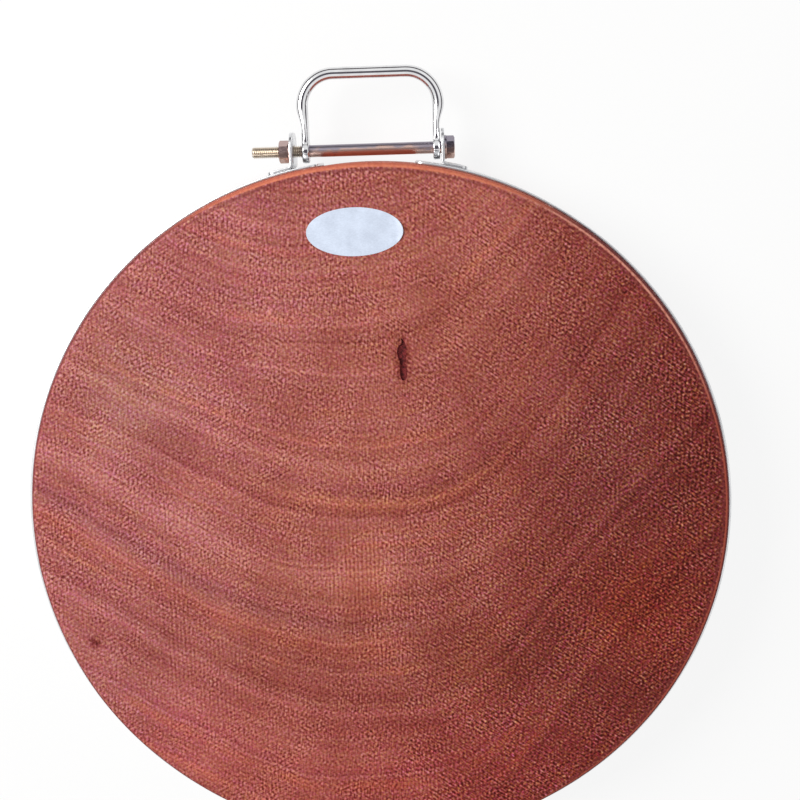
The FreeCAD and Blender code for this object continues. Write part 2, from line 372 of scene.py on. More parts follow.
# Growth bands that stand out: place along the rings and half width in millimetres, part of the face, then
# how much lighter
GROWTH_BANDS = (
    (-126, 6, "whole", 0.05),
    (-24, 6, "left", 0.05),
    (-12, 4, "middle", -0.03),
    (-8, 5, "middle", 0.1),
    (30, 13, "left", 0.07),
    (58, 7, "left", -0.08),
    (68, 5, "left", 0.08),
    (97, 7, "left", -0.06),
    (132, 5, "left", 0.06),
    (91, 6, "right", 0.06),
    (103, 7, "right", -0.06),
    (125, 7, "right", -0.05),
)

# Growth bands with a hue of their own: place, half width and part as above, then factors on the colour
BAND_TINTS = (
    (-7, 6, "middle", (1.06, 1.04, 0.82)),
    (72, 9, "left", (1.03, 0.98, 0.83)),
    (58, 8, "left", (1.0, 1.08, 1.2)),
)

# Stains on the working face: middle and reach in millimetres, then factors on the colour
STAINS = (
    ((-126, 68, 40, 48), (0.98, 1.18, 1.08)),
    ((-8, -42, 22, 40), (1.05, 1.02, 0.9)),
    ((138, -52, 50, 45), (1.0, 0.82, 0.68)),
    ((48, -80, 32, 32), (0.96, 0.96, 0.8)),
    ((46, 107, 45, 45), (0.92, 0.87, 0.82)),
    ((0, -165, 190, 85), (1.05, 0.84, 0.9)),
    ((75, -142, 95, 45), (1.24, 1.32, 1.36)),
    ((120, 36, 45, 70), (1.0, 1.13, 1.22)),
    ((142, -60, 36, 45), (1.2, 1.26, 1.24)),
    ((-108, -118, 50, 40), (1.0, 0.86, 0.95)),
)


class IronwoodShader(Shader):
    """Oiled ironwood, built up from its growth rings, saw marks, pores and stains, with partly painted shade
    towards its right and painted highlights and shade on its rims.
    """

    def __init__(self, look):
        super().__init__(bpy.data.materials.new("oiled_ironwood"))
        self.look = look
        self.x, self.y, self.z = self.split(self.place)
        self.along_grain = self.scaled(self.place, (1.0, 1.0, GRAIN_PACE))
        self.on_top = self.span(self.z, block_top * 0.4, block_top * 0.6)
        not_left = self.span(self.x, -110 * MM, 0.0)
        not_right = self.span(self.x, 95 * MM, 40 * MM)
        self.parts = {
            "whole": 1.0,
            "left": self.span(self.x, 40 * MM, -20 * MM),
            "middle": self.sum("MULTIPLY", not_left, not_right),
            "right": self.span(self.x, 30 * MM, 90 * MM),
        }
        self.lay_rings()
        # Painted shade in part: this mask grows towards the right and downward. It is partly darker wood and
        # partly shade that stands in for the key light falling off from the left.
        self.to_dark_wood_and_shade = self.sum("MULTIPLY_ADD", self.x, 0.9, self.sum("MULTIPLY", self.y, -0.32))
        self.dark_wood_and_shade = self.span(self.sum("ADD", self.to_dark_wood_and_shade, self.wander), -30 * MM, 160 * MM)
        self.cut_saw_marks()
        self.open_pores()

    def line(self, value, place, half_width, share):
        """A soft line across a value, by its place and half width in millimetres."""
        off_line = self.sum("ABSOLUTE", self.sum("SUBTRACT", value, place * MM))
        return self.span(off_line, half_width * MM, 0.0, 0.0, share)

    def band(self, place, half_width, part):
        """A growth band in one part of the face."""
        return self.line(self.ring_place, place, half_width, self.parts[part])

    def spot(self, spot_x, spot_y, reach_x, reach_y):
        """A soft spot on the working face, by its middle and reach in millimetres."""
        across = self.sum("MULTIPLY_ADD", self.x, 1 / (reach_x * MM), -spot_x / reach_x)
        upward = self.sum("MULTIPLY_ADD", self.y, 1 / (reach_y * MM), -spot_y / reach_y)
        from_middle = self.distance(self.join(across, upward, 0.0), (0.0, 0.0, 0.0))
        return self.span(from_middle, 1.2, 0.0, 0.0, self.on_top)

    def turn_about_z(self, vector):
        """A vector turned, so that the noise's own lattice doesn't lie along the face's axes."""
        inputs = {"Vector": vector, "Angle": PORE_TURN}
        return self.add("ShaderNodeVectorRotate", inputs, rotation_type="Z_AXIS").outputs[0]

    def lay_rings(self):
        """Growth rings that hang in wide arcs below the handle, steeper on the right."""
        look = self.look
        self.wander = self.sum("MULTIPLY_ADD", self.noise(self.along_grain, 70 * MM), 12 * MM, -6 * MM)
        ripple = self.sum("MULTIPLY_ADD", self.noise(self.along_grain, 10 * MM), 1.6 * MM, self.wander)
        pith_shift = self.span(self.y, 26 * MM, 133 * MM, 0.0, look.pith_lean)
        self.from_pith = self.sum("ADD", self.x, pith_shift)
        aside = self.sum("ABSOLUTE", self.from_pith)
        bent = self.sum("MINIMUM", self.sum("DIVIDE", aside, look.arc_reach), 1.0)
        easing = self.sum("MULTIPLY_ADD", bent, -0.5, 1.0)
        curve = self.sum("MULTIPLY", self.sum("POWER", bent, 3.0), easing)
        straight = self.sum("MAXIMUM", self.sum("SUBTRACT", aside, look.arc_reach), 0.0)
        arc = self.sum("MULTIPLY_ADD", curve, look.arc_reach, straight)
        slope_change = -0.14 * look.right_slope / look.arc_reach
        right_slope = self.sum("MULTIPLY_ADD", self.y, slope_change, look.right_slope)
        self.slope = self.span(self.from_pith, -5 * MM, 5 * MM, look.left_slope, right_slope)
        ring_height = self.sum("MULTIPLY_ADD", arc, self.slope, ripple)
        self.ring_place = self.sum("SUBTRACT", ring_height, self.y)
        self.rings = self.line_noise(self.ring_place, look.ring_spacing, 1.0)

    def cut_saw_marks(self):
        """Saw marks, faint and only in places."""
        patch = self.sum("MAXIMUM", self.spot(-10, -32, 36, 62), self.spot(-109, -33, 10, 50))
        self.sawn_patch = self.sum("MULTIPLY_ADD", self.spot(-95, -85, 45, 60), 0.7, patch)
        wave = self.sum("SINE", self.sum("MULTIPLY", self.x, 2 * math.pi / self.look.saw_spacing))
        elsewhere = self.noise(self.scaled(self.place, (1.0, 0.4, 1.0)), 45 * MM)
        zone = self.sum("MAXIMUM", self.span(elsewhere, 0.5, 0.75, 0.0, 0.8), self.sawn_patch)
        self.saw_marks = self.sum("MULTIPLY_ADD", self.sum("MULTIPLY", wave, zone), 0.5, 0.5)

    def open_pores(self):
        """Pores and the pale cells between them, drawn out a little along the rays that cross the rings."""
        look = self.look
        side = self.span(self.from_pith, -look.arc_reach, look.arc_reach, -1.0, 1.0)
        across = self.join(self.sum("MULTIPLY", side, self.slope), -1.0, 0.0)
        ray = self.add("ShaderNodeVectorMath", {0: across}, operation="NORMALIZE").outputs[0]
        ray = self.turn_about_z(ray)
        self.grain = self.turn_about_z(self.along_grain)
        moves = [(0.5, self.scaled(ray, (step * look.ray_length,) * 3)) for step in (-0.5, 0.5)]
        moves += [(-1 / 3, polar(look.pore_gap, turn)) for turn in turns(3)]
        cells = 0.5
        for share, move in moves:
            moved = self.add("ShaderNodeVectorMath", {0: self.grain, 1: move}, operation="ADD").outputs[0]
            cells = self.sum("MULTIPLY_ADD", self.noise(moved, look.pore_size, 0.0), share, cells)
        self.flecks = self.noise(self.grain, 2 * MM)
        clear_zone = self.span(self.noise(self.along_grain, 18 * MM, 3.0), 0.35, 0.68, 0.7, 1.3)
        clear_zone = self.sum("MULTIPLY_ADD", self.dark_wood_and_shade, 0.42, clear_zone)
        clear_zone = self.sum("MULTIPLY_ADD", self.sawn_patch, -0.22, clear_zone)
        self.clear_cells = self.around(0.5, (cells, clear_zone))

    def tone(self):
        """How light the wood is, from nought to one."""
        broad_bands = self.line_noise(self.ring_place, 22 * MM)
        clear_zone = self.span(self.noise(self.along_grain, 60 * MM), 0.38, 0.62, 0.6, 1.2)
        clear_rings = self.around(0.5, (self.rings, clear_zone))
        fine_rings = self.line_noise(self.ring_place, self.look.ring_spacing / 4, 1.0)
        fine_weight = self.span(self.x, 60 * MM, -60 * MM, 0.16, 0.24)
        clusters = self.noise(self.grain, 3.5 * MM, 1.0)
        blotches = self.noise(self.along_grain, 40 * MM, 3.0)
        usual_tone = 0.62
        tone = self.around(
            usual_tone,
            (broad_bands, 0.135), (clear_rings, 0.155), (fine_rings, fine_weight),
            (self.clear_cells, 0.88), (self.flecks, 0.22), (clusters, 0.16),
            (blotches, 0.3), (self.saw_marks, 0.2),
        )
        # Painted shade in part: the wood is made darker towards the right and lower side.
        tone = self.sum("MULTIPLY_ADD", self.dark_wood_and_shade, -0.31, tone)
        for place, lighter in TONE_SPOTS:
            tone = self.sum("MULTIPLY_ADD", self.spot(*place), lighter, tone)
        for place, half_width, part, lighter in GROWTH_BANDS:
            tone = self.sum("MULTIPLY_ADD", self.band(place, half_width, part), lighter, tone)
        return tone

    def face_colour(self, tone):
        """Colour by tone, with changing hues, tinted bands and stains, partly painted shade on the right and
        a painted sheen on the left.
        """
        look = self.look
        colour = self.ramp(tone, [
            (0.04, look.pore), (0.375, look.dark), (0.625, look.middle), (1.0, look.pale),
        ])
        cell_hues = self.noise(self.grain, 1 * MM, 0.0, output="Color")
        zone_hues = self.noise(self.along_grain, 5 * MM, 3.0, 0.6, output="Color")
        ring_hues = self.line_noise(self.ring_place, 8 * MM, output="Color")
        colour = self.vary_hue(self.span(self.dark_wood_and_shade, 0.0, 1.0, 0.4, 0.9), colour, cell_hues, 1.8, 2.6)
        colour = self.vary_hue(1.0, colour, zone_hues, 0.35, 0.5)
        colour = self.vary_hue(1.0, colour, ring_hues, 0.24, 0.28)
        orange_zone = self.span(self.noise(self.along_grain, 45 * MM), 0.42, 0.58, 0.0, 0.6)
        orange_noise = self.line_noise(self.ring_place, 11 * MM, 1.0)
        tints = [
            (self.span(orange_noise, 0.54, 0.7, 0.0, orange_zone), (1.1, 1.04, 0.82)),
            # Partly painted shade: a slight warm cast on the darker right side.
            (self.dark_wood_and_shade, (1.0, 0.98, 0.96)),
            # Painted sheen: a bluish cast on the left side, where the key light reflects off the oiled face.
            (self.span(self.to_dark_wood_and_shade, -20 * MM, -110 * MM), (1.0, 1.02, 1.2)),
        ]
        tints += [(self.band(*place), factors) for *place, factors in BAND_TINTS]
        tints += [(self.spot(*place), factors) for place, factors in STAINS]
        for share, factors in tints:
            colour = self.mix(share, colour, factors, "MULTIPLY")
        return colour

    def with_rims(self, colour):
        """A colour with its rims: a partly painted highlight on the smoothed rim under the handle, a painted
        highlight line on the right and painted shade on the rims' edges.
        """
        look = self.look
        from_axis = self.distance(self.join(self.x, self.y, 0.0), (0.0, 0.0, 0.0))
        from_edge = self.sum("SUBTRACT", block_radius, from_axis)
        from_faces = self.sum("ABSOLUTE", self.sum("SUBTRACT", self.z, block_top / 2))
        on_rim = self.span(from_faces, block_top / 2 - 5 * MM, block_top / 2 - 3 * MM)
        top_side = self.span(self.y, 138 * MM, 172 * MM)
        right_side = self.span(self.x, 40 * MM, 130 * MM)
        lit_side = self.sum("MAXIMUM", top_side, right_side)

        # Painted shade: a dark line just inside the lit top and right rims, and a dark band on every rim's
        # outer edge.
        inner_shade_line = self.line(from_edge, 3.4, 1.3, self.sum("MULTIPLY", lit_side, 0.6))
        colour = self.mix(inner_shade_line, colour, look.rim_shade)
        edge_shade = self.sum("MULTIPLY", self.span(from_edge, 2 * MM, 0.9 * MM, 0.0, 0.85), on_rim)
        colour = self.mix(edge_shade, colour, look.rim_shade)

        # Painted highlight: a light line along the right rim's rounding, palest in flecks towards its upper
        # part.
        highlight_flecks = self.span(self.flecks, 0.3, 0.55, 0.35, 1.0)
        bare = self.sum("MULTIPLY", self.span(self.y, 40 * MM, 110 * MM), highlight_flecks)
        highlight_colour = self.mix(bare, look.red_rim_highlight, look.pale_rim_highlight)
        colour = self.mix(self.line(from_edge, 1.8, 0.9, right_side), colour, highlight_colour)

        # Partly painted highlight: the smoothed rim and the side below the handle are lit orange, turning
        # redder at the outermost edge.
        top_width = self.span(self.y, 145 * MM, 175 * MM, 1.1 * MM, 2.6 * MM)
        top_highlight_edge = self.span(from_edge, top_width, self.sum("MULTIPLY", top_width, 0.7), 0.0, 0.9)
        top_highlight_colour = self.mix(self.span(self.flecks, 0.35, 0.7, 0.0, 0.5), look.smoothed_top_rim_highlight, look.red_rim_highlight)
        outermost = self.span(from_edge, 1.6 * MM, 0.5 * MM, 0.0, 0.6)
        top_highlight_colour = self.mix(outermost, top_highlight_colour, look.red_rim_highlight)
        return self.mix(self.sum("MULTIPLY", top_highlight_edge, top_side), colour, top_highlight_colour)


def wood_material(look):
    """Oiled end grain on the slab's faces and long grain round its side."""
    wood = IronwoodShader(look)
    tone = wood.tone()
    relief = wood.around(0.5, (wood.clear_cells, 1.0), (wood.saw_marks, 0.35), (wood.rings, 0.3))
    return wood.finish({
        "Base Color": wood.with_rims(wood.face_colour(tone)),
        "Roughness": wood.span(tone, 0.2, 0.8, 0.66, 0.48),
        "Specular IOR Level": 0.14,
        "Normal": wood.bump(relief, 0.12 * MM),
    })


def gum_material(look):
    """Hard dark gum with a dull shine."""
    gum = Shader(bpy.data.materials.new("dark_gum"))
    lumps = gum.noise(gum.place, 1.3 * MM, 3.0)
    return gum.finish({
        "Base Color": gum.ramp(lumps, [(0.36, times(look.gum, 0.5)), (0.64, times(look.gum, 2.2))]),
        "Roughness": gum.span(lumps, 0.3, 0.7, 0.6, 0.8),
        "Specular IOR Level": 0.12,
        "Normal": gum.bump(lumps, 0.25 * MM),
    })


def weld_angle(look):
    """Angle from +Y of the right ear's spot welds."""
    return foot_end_angle - look.foot_length / 2 / hoop_radius


def hoop_material(look):
    """Bright strip steel, drawn lengthwise, with heat tint at the spot welds."""
    steel = Shader(bpy.data.materials.new("bright_strip_steel"))
    x, y, z = steel.split(steel.place)
    along = steel.sum("MULTIPLY", steel.sum("ARCTAN2", x, y), hoop_radius)
    drawn = steel.join(steel.sum("MULTIPLY", along, 0.02), z, 0.0)
    lines = steel.noise(drawn, 0.5 * MM, 3.0, 0.6)
    smudges = steel.noise(steel.place, 14 * MM, 3.0)
    colour = steel.mix(steel.span(smudges, 0.35, 0.7), look.hoop, times(look.hoop, 0.94))
    colour = steel.mix(steel.span(lines, 0.35, 0.7), colour, times(look.hoop, 0.8))
    from_bolt = steel.sum("ABSOLUTE", steel.sum("SUBTRACT", z, bolt_z))
    weld = polar(hoop_radius + look.sheet, weld_angle(look), look.weld_spacing / 2)
    from_weld = steel.distance(steel.join(steel.sum("ABSOLUTE", x), y, from_bolt), weld)
    tint_reach = 6.5 * MM
    tint = steel.ramp(steel.span(from_weld, 1.5 * MM, tint_reach), [
        (0.0, (0.30, 0.27, 0.25)), (0.3, (0.33, 0.36, 0.47)), (0.6, (0.62, 0.50, 0.34)), (1.0, look.hoop),
    ])
    colour = steel.mix(steel.span(from_weld, tint_reach, 2.5 * MM, 0.0, 0.75), colour, tint)
    return steel.finish({
        "Base Color": colour,
        "Metallic": 1.0,
        "Roughness": steel.around(0.3, (lines, 0.3), (smudges, 0.1)),
        "Normal": steel.bump(lines, 0.006 * MM),
    })


def handle_material(look):
    """Polished steel rod with fine handling marks."""
    steel = Shader(bpy.data.materials.new("polished_rod_steel"))
    scratches = steel.noise(steel.scaled(steel.place, (1.0, 0.08, 1.0)), 0.45 * MM, 3.0, 0.65)
    smudges = steel.noise(steel.place, 8 * MM, 3.0)
    return steel.finish({
        "Base Color": steel.mix(steel.span(smudges, 0.35, 0.72), look.handle, times(look.handle, 0.85)),
        "Metallic": 1.0,
        "Roughness": steel.around(0.1, (scratches, 0.15), (smudges, 0.18)),
        "Normal": steel.bump(scratches, 0.003 * MM),
    })


def zinc_material(look):
    """Zinc plate with a yellowish shine, a painted sky reflection in blue over its upper half and painted
    shade in the thread's roots; bare on the thread and duller on the shank.
    """
    zinc = Shader(bpy.data.materials.new("yellow_zinc_plate"))
    x, y, z = zinc.split(zinc.place)
    clouds = zinc.noise(zinc.scaled(zinc.place, (0.35, 1.0, 1.0)), 3.2 * MM, 3.0)
    grains = zinc.noise(zinc.place, 0.35 * MM, 2.0)
    # Painted reflection: the blue covers each zinc part's upper half, where the sky reflects, with a clouded
    # edge.
    upward = zinc.sum("MULTIPLY_ADD", zinc.sum("SUBTRACT", clouds, 0.5), 11 * MM, y)
    blue_reach = zinc.span(x, nut_high.x, nut_high.x + 1 * MM, 0.3, 0.85)
    sky_reflection_share = zinc.span(upward, bolt_y - 1.2 * MM, bolt_y + 1.6 * MM, 0.0, blue_reach)
    colour = zinc.mix(sky_reflection_share, look.zinc, look.sky_blue_on_zinc)
    colour = zinc.mix(zinc.span(grains, 0.3, 0.75, 0.0, 0.25), colour, times(look.zinc, 0.45))
    from_axis = zinc.distance(zinc.join(0.0, y, z), (0.0, bolt_y, bolt_z))
    in_thread = zinc.span(x, bolt_low.x + look.thread_length, bolt_low.x + look.thread_length - 2 * MM)
    on_bolt = zinc.span(from_axis, look.shank + 0.3 * MM, look.shank + 0.1 * MM)
    in_thread = zinc.sum("MULTIPLY", in_thread, on_bolt)
    on_shank = zinc.sum("SUBTRACT", on_bolt, in_thread)
    colour = zinc.mix(in_thread, colour, look.zinc_thread)
    # Painted shade: the thread's roots are darkened.
    root_depth = zinc.span(from_axis, look.shank - 0.1 * MM, look.shank - look.thread_depth)
    root_shade_share = zinc.sum("MULTIPLY", zinc.sum("MULTIPLY", root_depth, in_thread), 0.45)
    colour = zinc.mix(root_shade_share, colour, times(look.zinc, 0.22))
    gloss = zinc.around(0.24, (clouds, 0.3), (grains, 0.2))
    return zinc.finish({
        "Base Color": colour,
        "Metallic": 1.0,
        "Roughness": zinc.sum("MULTIPLY_ADD", on_shank, 0.1, gloss),
        "Normal": zinc.bump(grains, 0.006 * MM),
    })


def label_material(look):
    """Smooth coated paper, faintly fibrous."""
    paper = Shader(bpy.data.materials.new("coated_label_paper"))
    fibres = paper.noise(paper.scaled(paper.place, (0.45, 1.0, 1.0)), 0.5 * MM, 3.0, 0.7)
    clouds = paper.noise(paper.place, 7 * MM, 2.0)
    tone = paper.around(0.5, (fibres, 0.8), (clouds, 0.9))
    return paper.finish({
        "Base Color": paper.ramp(tone, [(0.2, times(look.paper, 0.84)), (0.8, times(look.paper, 1.1))]),
        "Roughness": paper.span(fibres, 0.3, 0.7, 0.32, 0.46),
        "Specular IOR Level": 0.4,
        "Normal": paper.bump(tone, 0.015 * MM),
    })


def shared_material(name, maker, look):
    """A material that several pieces have in common."""
    return bpy.data.materials.get(name) or maker(look)


def skin(rings, closed=False):
    """A mesh over rings that have as many points each, capped unless the rings close on themselves."""
    mesh = bmesh.new()
    rows = [[mesh.verts.new(point) for point in ring] for ring in rings]
    pairs = list(zip(rows, rows[1:]))
    if closed:
        pairs.append((rows[-1], rows[0]))
    else:
        mesh.faces.new(rows[0])
        mesh.faces.new(rows[-1])
    for row, following in pairs:
        for index in range(len(row)):
            after = (index + 1) % len(row)
            mesh.faces.new((row[index], row[after], following[after], following[index]))
    bmesh.ops.recalc_face_normals(mesh, faces=mesh.faces)
    return mesh


def make_object(name, mesh, *materials):
    """An object from a mesh."""
    data = bpy.data.meshes.new(name)
    mesh.to_mesh(data)
    mesh.free()
    for material in materials:
        data.materials.append(material)
    piece = bpy.data.objects.new(name, data)
    bpy.context.scene.collection.objects.link(piece)
    return piece


def install(piece, body, node, smooth_degrees=38):
    """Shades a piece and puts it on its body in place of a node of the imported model."""
    piece.data.shade_smooth()
    piece.data.set_sharp_from_angle(angle=math.radians(smooth_degrees))
    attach(piece, body)
    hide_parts(node)


def cut(piece, cutter):
    """Takes one solid out of a piece and removes the solid."""
    modifier = piece.modifiers.new("cut", "BOOLEAN")
    modifier.operation = "DIFFERENCE"
    modifier.solver = "EXACT"
    modifier.object = cutter
    graph = bpy.context.evaluated_depsgraph_get()
    piece.data = bpy.data.meshes.new_from_object(piece.evaluated_get(graph))
    piece.modifiers.clear()
    bpy.data.objects.remove(cutter)
    if not piece.data.polygons:
        raise RuntimeError("The cut left nothing of " + piece.name)


def round_cutter(start, direction, profile, points=48):
    """A turned cutter, from pairs of distance along a direction and radius."""
    direction = direction.normalized()
    side = direction.orthogonal().normalized()
    other = direction.cross(side)
    spokes = [side * math.cos(turn) + other * math.sin(turn) for turn in turns(points)]
    rings = []
    for distance, radius in profile:
        centre = start + direction * distance
        rings.append([centre + spoke * radius for spoke in spokes])
    return make_object("cutter", skin(rings))


def lipped_bore(start, end, radius, lip):
    """Profile of a cutter for a hole whose two edges are broken."""
    wide = radius + 2 * lip
    return [(start - lip, wide), (start + lip, radius), (end - lip, radius), (end + lip, wide)]


def turns(count):
    """Angles evenly round a full turn."""
    return [2 * math.pi * index / count for index in range(count)]


def smooth_step(value, low, high):
    """A value from nought to one, with soft ends."""
    share = min(max((value - low) / (high - low), 0.0), 1.0)
    return share * share * (3 - 2 * share)


def between(share, first, second):
    """A number part of the way from one to another."""
    return first + (second - first) * share


def polar(radius, angle, z=0.0):
    """Place at an angle from +Y, turning towards +X about the block's axis."""
    return Vector((radius * math.sin(angle), radius * math.cos(angle), z))


def section(centre, side, half_side, half_up, corner, steps):
    """Ring of a rounded rectangle; a circle where the corner is as large as both halves."""
    corner = min(corner, half_side, half_up)
    ring = []
    for quarter, (side_sign, up_sign) in enumerate(((1, 1), (-1, 1), (-1, -1), (1, -1))):
        for step in range(steps):
            turn = (quarter + (step + 0.5) / steps) * math.pi / 2
            to_side = side_sign * (half_side - corner) + corner * math.cos(turn)
            to_up = up_sign * (half_up - corner) + corner * math.sin(turn)
            ring.append(centre + side * to_side + UP * to_up)
    return ring


def set_back(distance, radius):
    """How far a rounded end stands back at a distance from its tip."""
    if distance >= radius:
        return 0.0
    return radius - math.sqrt(radius ** 2 - (radius - distance) ** 2)


def end_steps(corner, edge):
    """Distances from a strip's end that show both its rounded corner and its rounded edge."""
    fine = [edge * (1 - math.cos(math.radians(turn))) for turn in (0, 35, 65, 90)]
    coarse = [corner * (1 - math.cos(math.radians(turn))) for turn in range(25, 91, 6)]
    return fine + [step for step in coarse if step > edge * 1.2]


def sheet_strip(path, length, thickness, half_width, corners, edge, spacing):
    """Strip of sheet steel along a path, whose two ends have rounded corners."""
    start_steps = end_steps(corners[0], edge)
    stop_steps = [length - step for step in reversed(end_steps(corners[1], edge))]
    count = max(2, round((stop_steps[0] - start_steps[-1]) / spacing))
    middle = [between(index / count, start_steps[-1], stop_steps[0]) for index in range(1, count)]
    rings = []
    for along in start_steps + middle + stop_steps:
        centre, outward = path(along)
        half = half_width - max(set_back(along, corners[0]), set_back(length - along, corners[1]))
        thin = max(set_back(along, edge), set_back(length - along, edge))
        rings.append(section(centre, outward, thickness / 2 - thin, half, edge, steps=3))
    return skin(rings)


def pocket_outline(look):
    """Half of the gum pocket's width and its shift to the side, along its length from bottom to top."""
    widths = (0.35, 0.7, 0.8, 0.78, 0.7, 0.46, 0.6, 0.74, 0.92, 1.0, 1.0, 0.9, 0.38, 0.2, 0.0)
    shifts = (0.2, 0.18, 0.16, 0.16, 0.14, 0.0, -0.04, -0.06, -0.16, -0.2, -0.1, 0.06, 0.26, 0.06, -0.25)
    last = len(widths) - 1
    outline = []
    for step in range(4 * last + 1):
        place = step / 4
        low = min(int(place), last - 1)
        share = smooth_step(place - low, 0.0, 1.0)
        width = between(share, widths[low], widths[low + 1]) * look.pocket_width / 2
        shift = between(share, shifts[low], shifts[low + 1]) * look.pocket_width / 2
        outline.append((between(place / last, -0.5, 0.5) * look.pocket_length, width, shift))
    return outline


def pocket_cutter(look, materials):
    """Solid that opens the gum pocket: narrow at its floor and flared at the working face."""
    outline = pocket_outline(look)
    centre = Vector(look.pocket_centre)
    least_half = 0.02 * MM
    rings = []
    for height, flare in ((-1.0, 0.5), (-0.7, 0.8), (-0.15, 0.97), (0.0, 1.03), (0.6, 1.25)):
        right, left = (
            [
                Vector((shift + side * width * flare + side * least_half, along, 0))
                for along, width, shift in outline
            ]
            for side in (1, -1)
        )
        ring = right + left[::-1]
        rings.append([centre + point + UP * height * look.pocket_depth for point in ring])
    cutter = make_object("cutter", skin(rings), *materials)
    for face in cutter.data.polygons:
        face.material_index = 1
    return cutter


def slab_rings(look):
    """Rings of the slab from the middle of its base, over both worn rims, to the middle of its face."""
    angles = turns(360)
    flat_shares = (0.04, 0.2, 0.4, 0.6, 0.8, 0.93)
    rim_steps = 8
    rings = [[polar(block_radius * share, angle) for angle in angles] for share in flat_shares]
    for top in (False, True):
        for step in range(rim_steps + 1):
            turn = step / rim_steps * math.pi / 2
            ring = []
            for angle in angles:
                wear = noise.fractal(polar(2.5, angle, 4.0 * top), 1.0, 2.0, 3)
                radius = look.edge_radius * (1 + look.edge_wear * wear)
                inset = radius * (1 - (math.cos(turn) if top else math.sin(turn)))
                drop = radius * (1 - (math.sin(turn) if top else math.cos(turn)))
                ring.append(polar(block_radius - inset, angle, block_top - drop if top else drop))
            rings.append(ring)
    for share in reversed(flat_shares):
        rings.append([polar(block_radius * share, angle, block_top) for angle in angles])
    return rings


class CHOPPING_BLOCK_OT_wood(bpy.types.Operator):
    """Slab of end grain with worn rims and its gum pocket"""

    bl_idname = "chopping_block.wood"
    bl_label = "Wooden slab"

    def execute(self, context):
        look = context.scene.chopping_block.wood
        materials = (wood_material(look), gum_material(look))
        slab = make_object("ironwood_slab", skin(slab_rings(look)), *materials)
        cut(slab, pocket_cutter(look, materials))
        install(slab, "block", "wood_block", smooth_degrees=50)
        return {"FINISHED"}


class CHOPPING_BLOCK_OT_hoop(bpy.types.Operator):
    """Steel strip round the slab, open under the bolt"""

    bl_idname = "chopping_block.hoop"
    bl_label = "Hoop"

    def execute(self, context):
        look = context.scene.chopping_block.steel
        middle_radius = hoop_radius - look.sheet / 2
        middle_z = (hoop_low.z + hoop_high.z) / 2
        start = math.asin(look.hoop_opening / 2 / hoop_radius)

        def path(along):
            angle = start + along / middle_radius
            return polar(middle_radius, angle, middle_z), polar(1, angle)

        length = 2 * (math.pi - start) * middle_radius
        half_width = (hoop_high.z - hoop_low.z) / 2
        corners = (look.hoop_corner, look.hoop_corner)
        mesh = sheet_strip(path, length, look.sheet, half_width, corners, look.sheet_edge, 3 * MM)
        hoop = make_object("steel_hoop", mesh, shared_material("bright_strip_steel", hoop_material, look))
        install(hoop, "block", "hoop_band")
        return {"FINISHED"}


def ear_path(look):
    """Middle line of the right ear, from its head down its upright, round its bend and along its foot."""
    half = look.sheet / 2
    bend_x = ear_low.x + look.sheet + look.ear_bend
    bend_radius = look.ear_bend + half
    foot_middle = foot_radius - half
    bend_y = math.sqrt((foot_middle + bend_radius) ** 2 - bend_x ** 2)
    bend_angle = math.atan2(bend_x, bend_y)
    upright = ear_high.y - bend_y
    bend_length = bend_radius * (math.pi / 2 - bend_angle)
    foot = (foot_end_angle - bend_angle) * foot_middle

    def path(along):
        if along <= upright:
            return Vector((ear_low.x + half, ear_high.y - along, bolt_z)), Vector((1, 0, 0))
        if along <= upright + bend_length:
            turn = (along - upright) / bend_radius
            inward = Vector((-math.cos(turn), -math.sin(turn), 0))
            return Vector((bend_x, bend_y, bolt_z)) + inward * bend_radius, -inward
        angle = bend_angle + (along - upright - bend_length) / foot_middle
        return polar(foot_middle, angle, bolt_z), polar(1, angle)

    return path, upright + bend_length + foot


class CHOPPING_BLOCK_OT_ears(bpy.types.Operator):
    """Two angle brackets spot-welded on the hoop beside its opening"""

    bl_idname = "chopping_block.ears"
    bl_label = "Clamp ears"

    def execute(self, context):
        look = context.scene.chopping_block.steel
        steel = shared_material("bright_strip_steel", hoop_material, look)
        path, length = ear_path(look)
        half_width = (ear_high.z - ear_low.z) / 2
        corners = (look.ear_head, look.ear_foot)
        angle = weld_angle(look)
        dimple = [
            (look.weld_depth, look.weld_radius + 0.25 * MM),
            (0, look.weld_radius),
            (-look.weld_depth * 0.8, look.weld_radius * 0.82),
            (-look.weld_depth, look.weld_radius * 0.6),
        ]
        for side, name, node in ((1, "right_clamp_ear", "right_ear"), (-1, "left_clamp_ear", "left_ear")):
            mesh = sheet_strip(path, length, look.sheet, half_width, corners, look.sheet_edge, 0.5 * MM)
            ear = make_object(name, mesh, steel)
            hole_start = Vector((ear_low.x, bolt_y, bolt_z))
            hole = lipped_bore(0.0, look.sheet, look.ear_hole, 0.25 * MM)
            cut(ear, round_cutter(hole_start, Vector((1, 0, 0)), hole))
            for up_sign in (-1, 1):
                weld_place = polar(foot_radius, angle, bolt_z + up_sign * look.weld_spacing / 2)
                cut(ear, round_cutter(weld_place, polar(1, angle), dimple, points=32))
            if side < 0:
                ear.data.transform(Matrix.Scale(-1, 4, (1, 0, 0)))
                ear.data.flip_normals()
            install(ear, "block", node)
        return {"FINISHED"}


BOLT_TURNS = turns(48)
CHAMFER_SLOPE = math.tan(math.radians(30))

# Radii as shares of a hexagon's width across its flats: dulled corners, start of the chamfer, round end face
# and the dish in the bolt's head
HEX_CORNER = 0.57
HEX_CHAMFER = 0.48
HEX_FACE = 0.475
HEX_DISH = 0.36


def bolt_point(x, radius, turn):
    """Place on a ring round the bolt's axis."""
    return Vector((x, bolt_y + radius * math.cos(turn), bolt_z + radius * math.sin(turn)))


